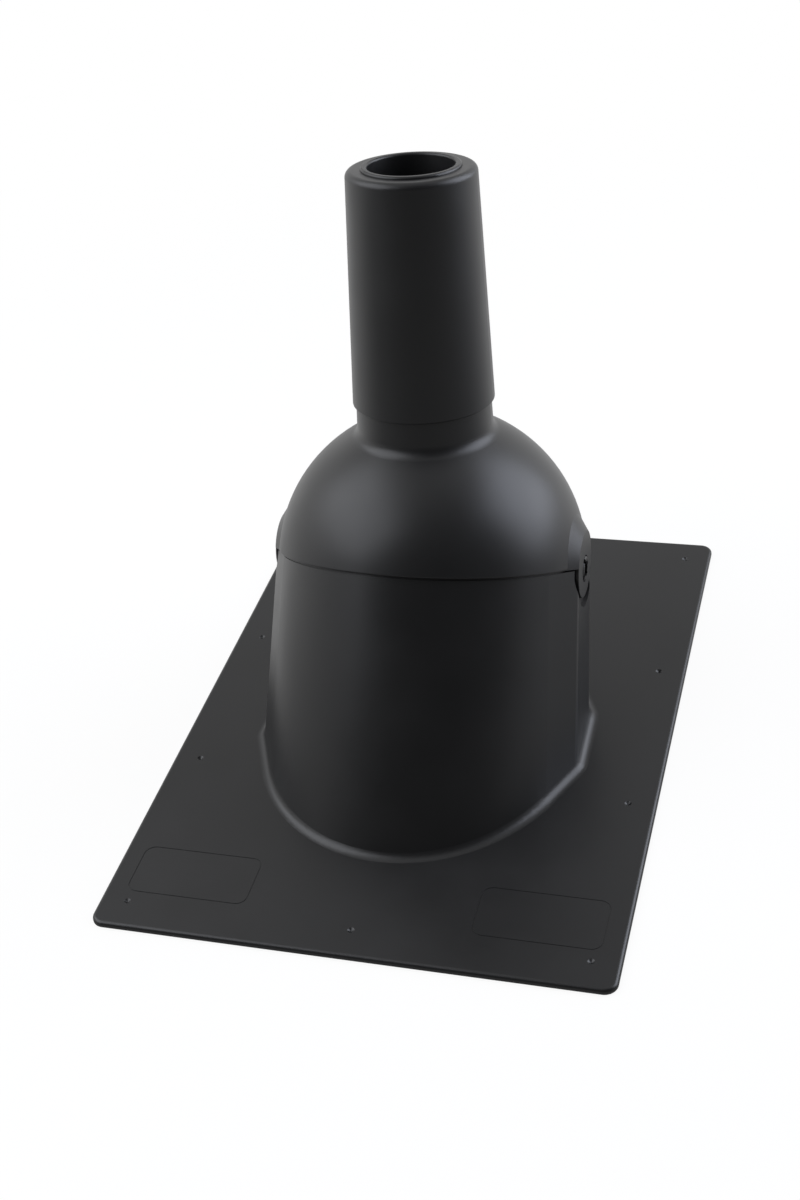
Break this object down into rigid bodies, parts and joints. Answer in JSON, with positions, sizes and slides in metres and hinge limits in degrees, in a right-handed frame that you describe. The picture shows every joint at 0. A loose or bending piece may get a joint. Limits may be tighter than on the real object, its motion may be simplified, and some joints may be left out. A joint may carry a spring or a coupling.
{
  "type": "adjustable pipe boot",
  "caption": "Black moulded roof flashing for a vent pipe: flat plate, leaning hollow riser, tilting dome on snap pivots and a tapered slip-on sleeve.",
  "frame": {"origin": "under the middle of the base plate, on its flat underside", "axes": "+Z square to the roof, +X along the pivots across the roof, -Y downhill"},
  "size_m": [0.272, 0.366, 0.3085],
  "materials": {
    "black_thermoplastic": "satin, as moulded"
  },
  "bodies": {
    "base": {"base_flashing": "black_thermoplastic"},
    "dome": {"dome": "black_thermoplastic"},
    "sleeve": {"sleeve": "black_thermoplastic"}
  },
  "joints": [
    {"name": "dome_tilt", "type": "hinge", "parent": "base", "child": "dome", "pos_m": [0, 0.034, 0.0885], "axis": [-1, 0, 0], "range_deg": [0, 35.54]},
    {"name": "sleeve_slide", "type": "slide", "parent": "dome", "child": "sleeve", "axis": [0, 0.1644, 0.9864], "range_m": [0, 0.03]}
  ]
}
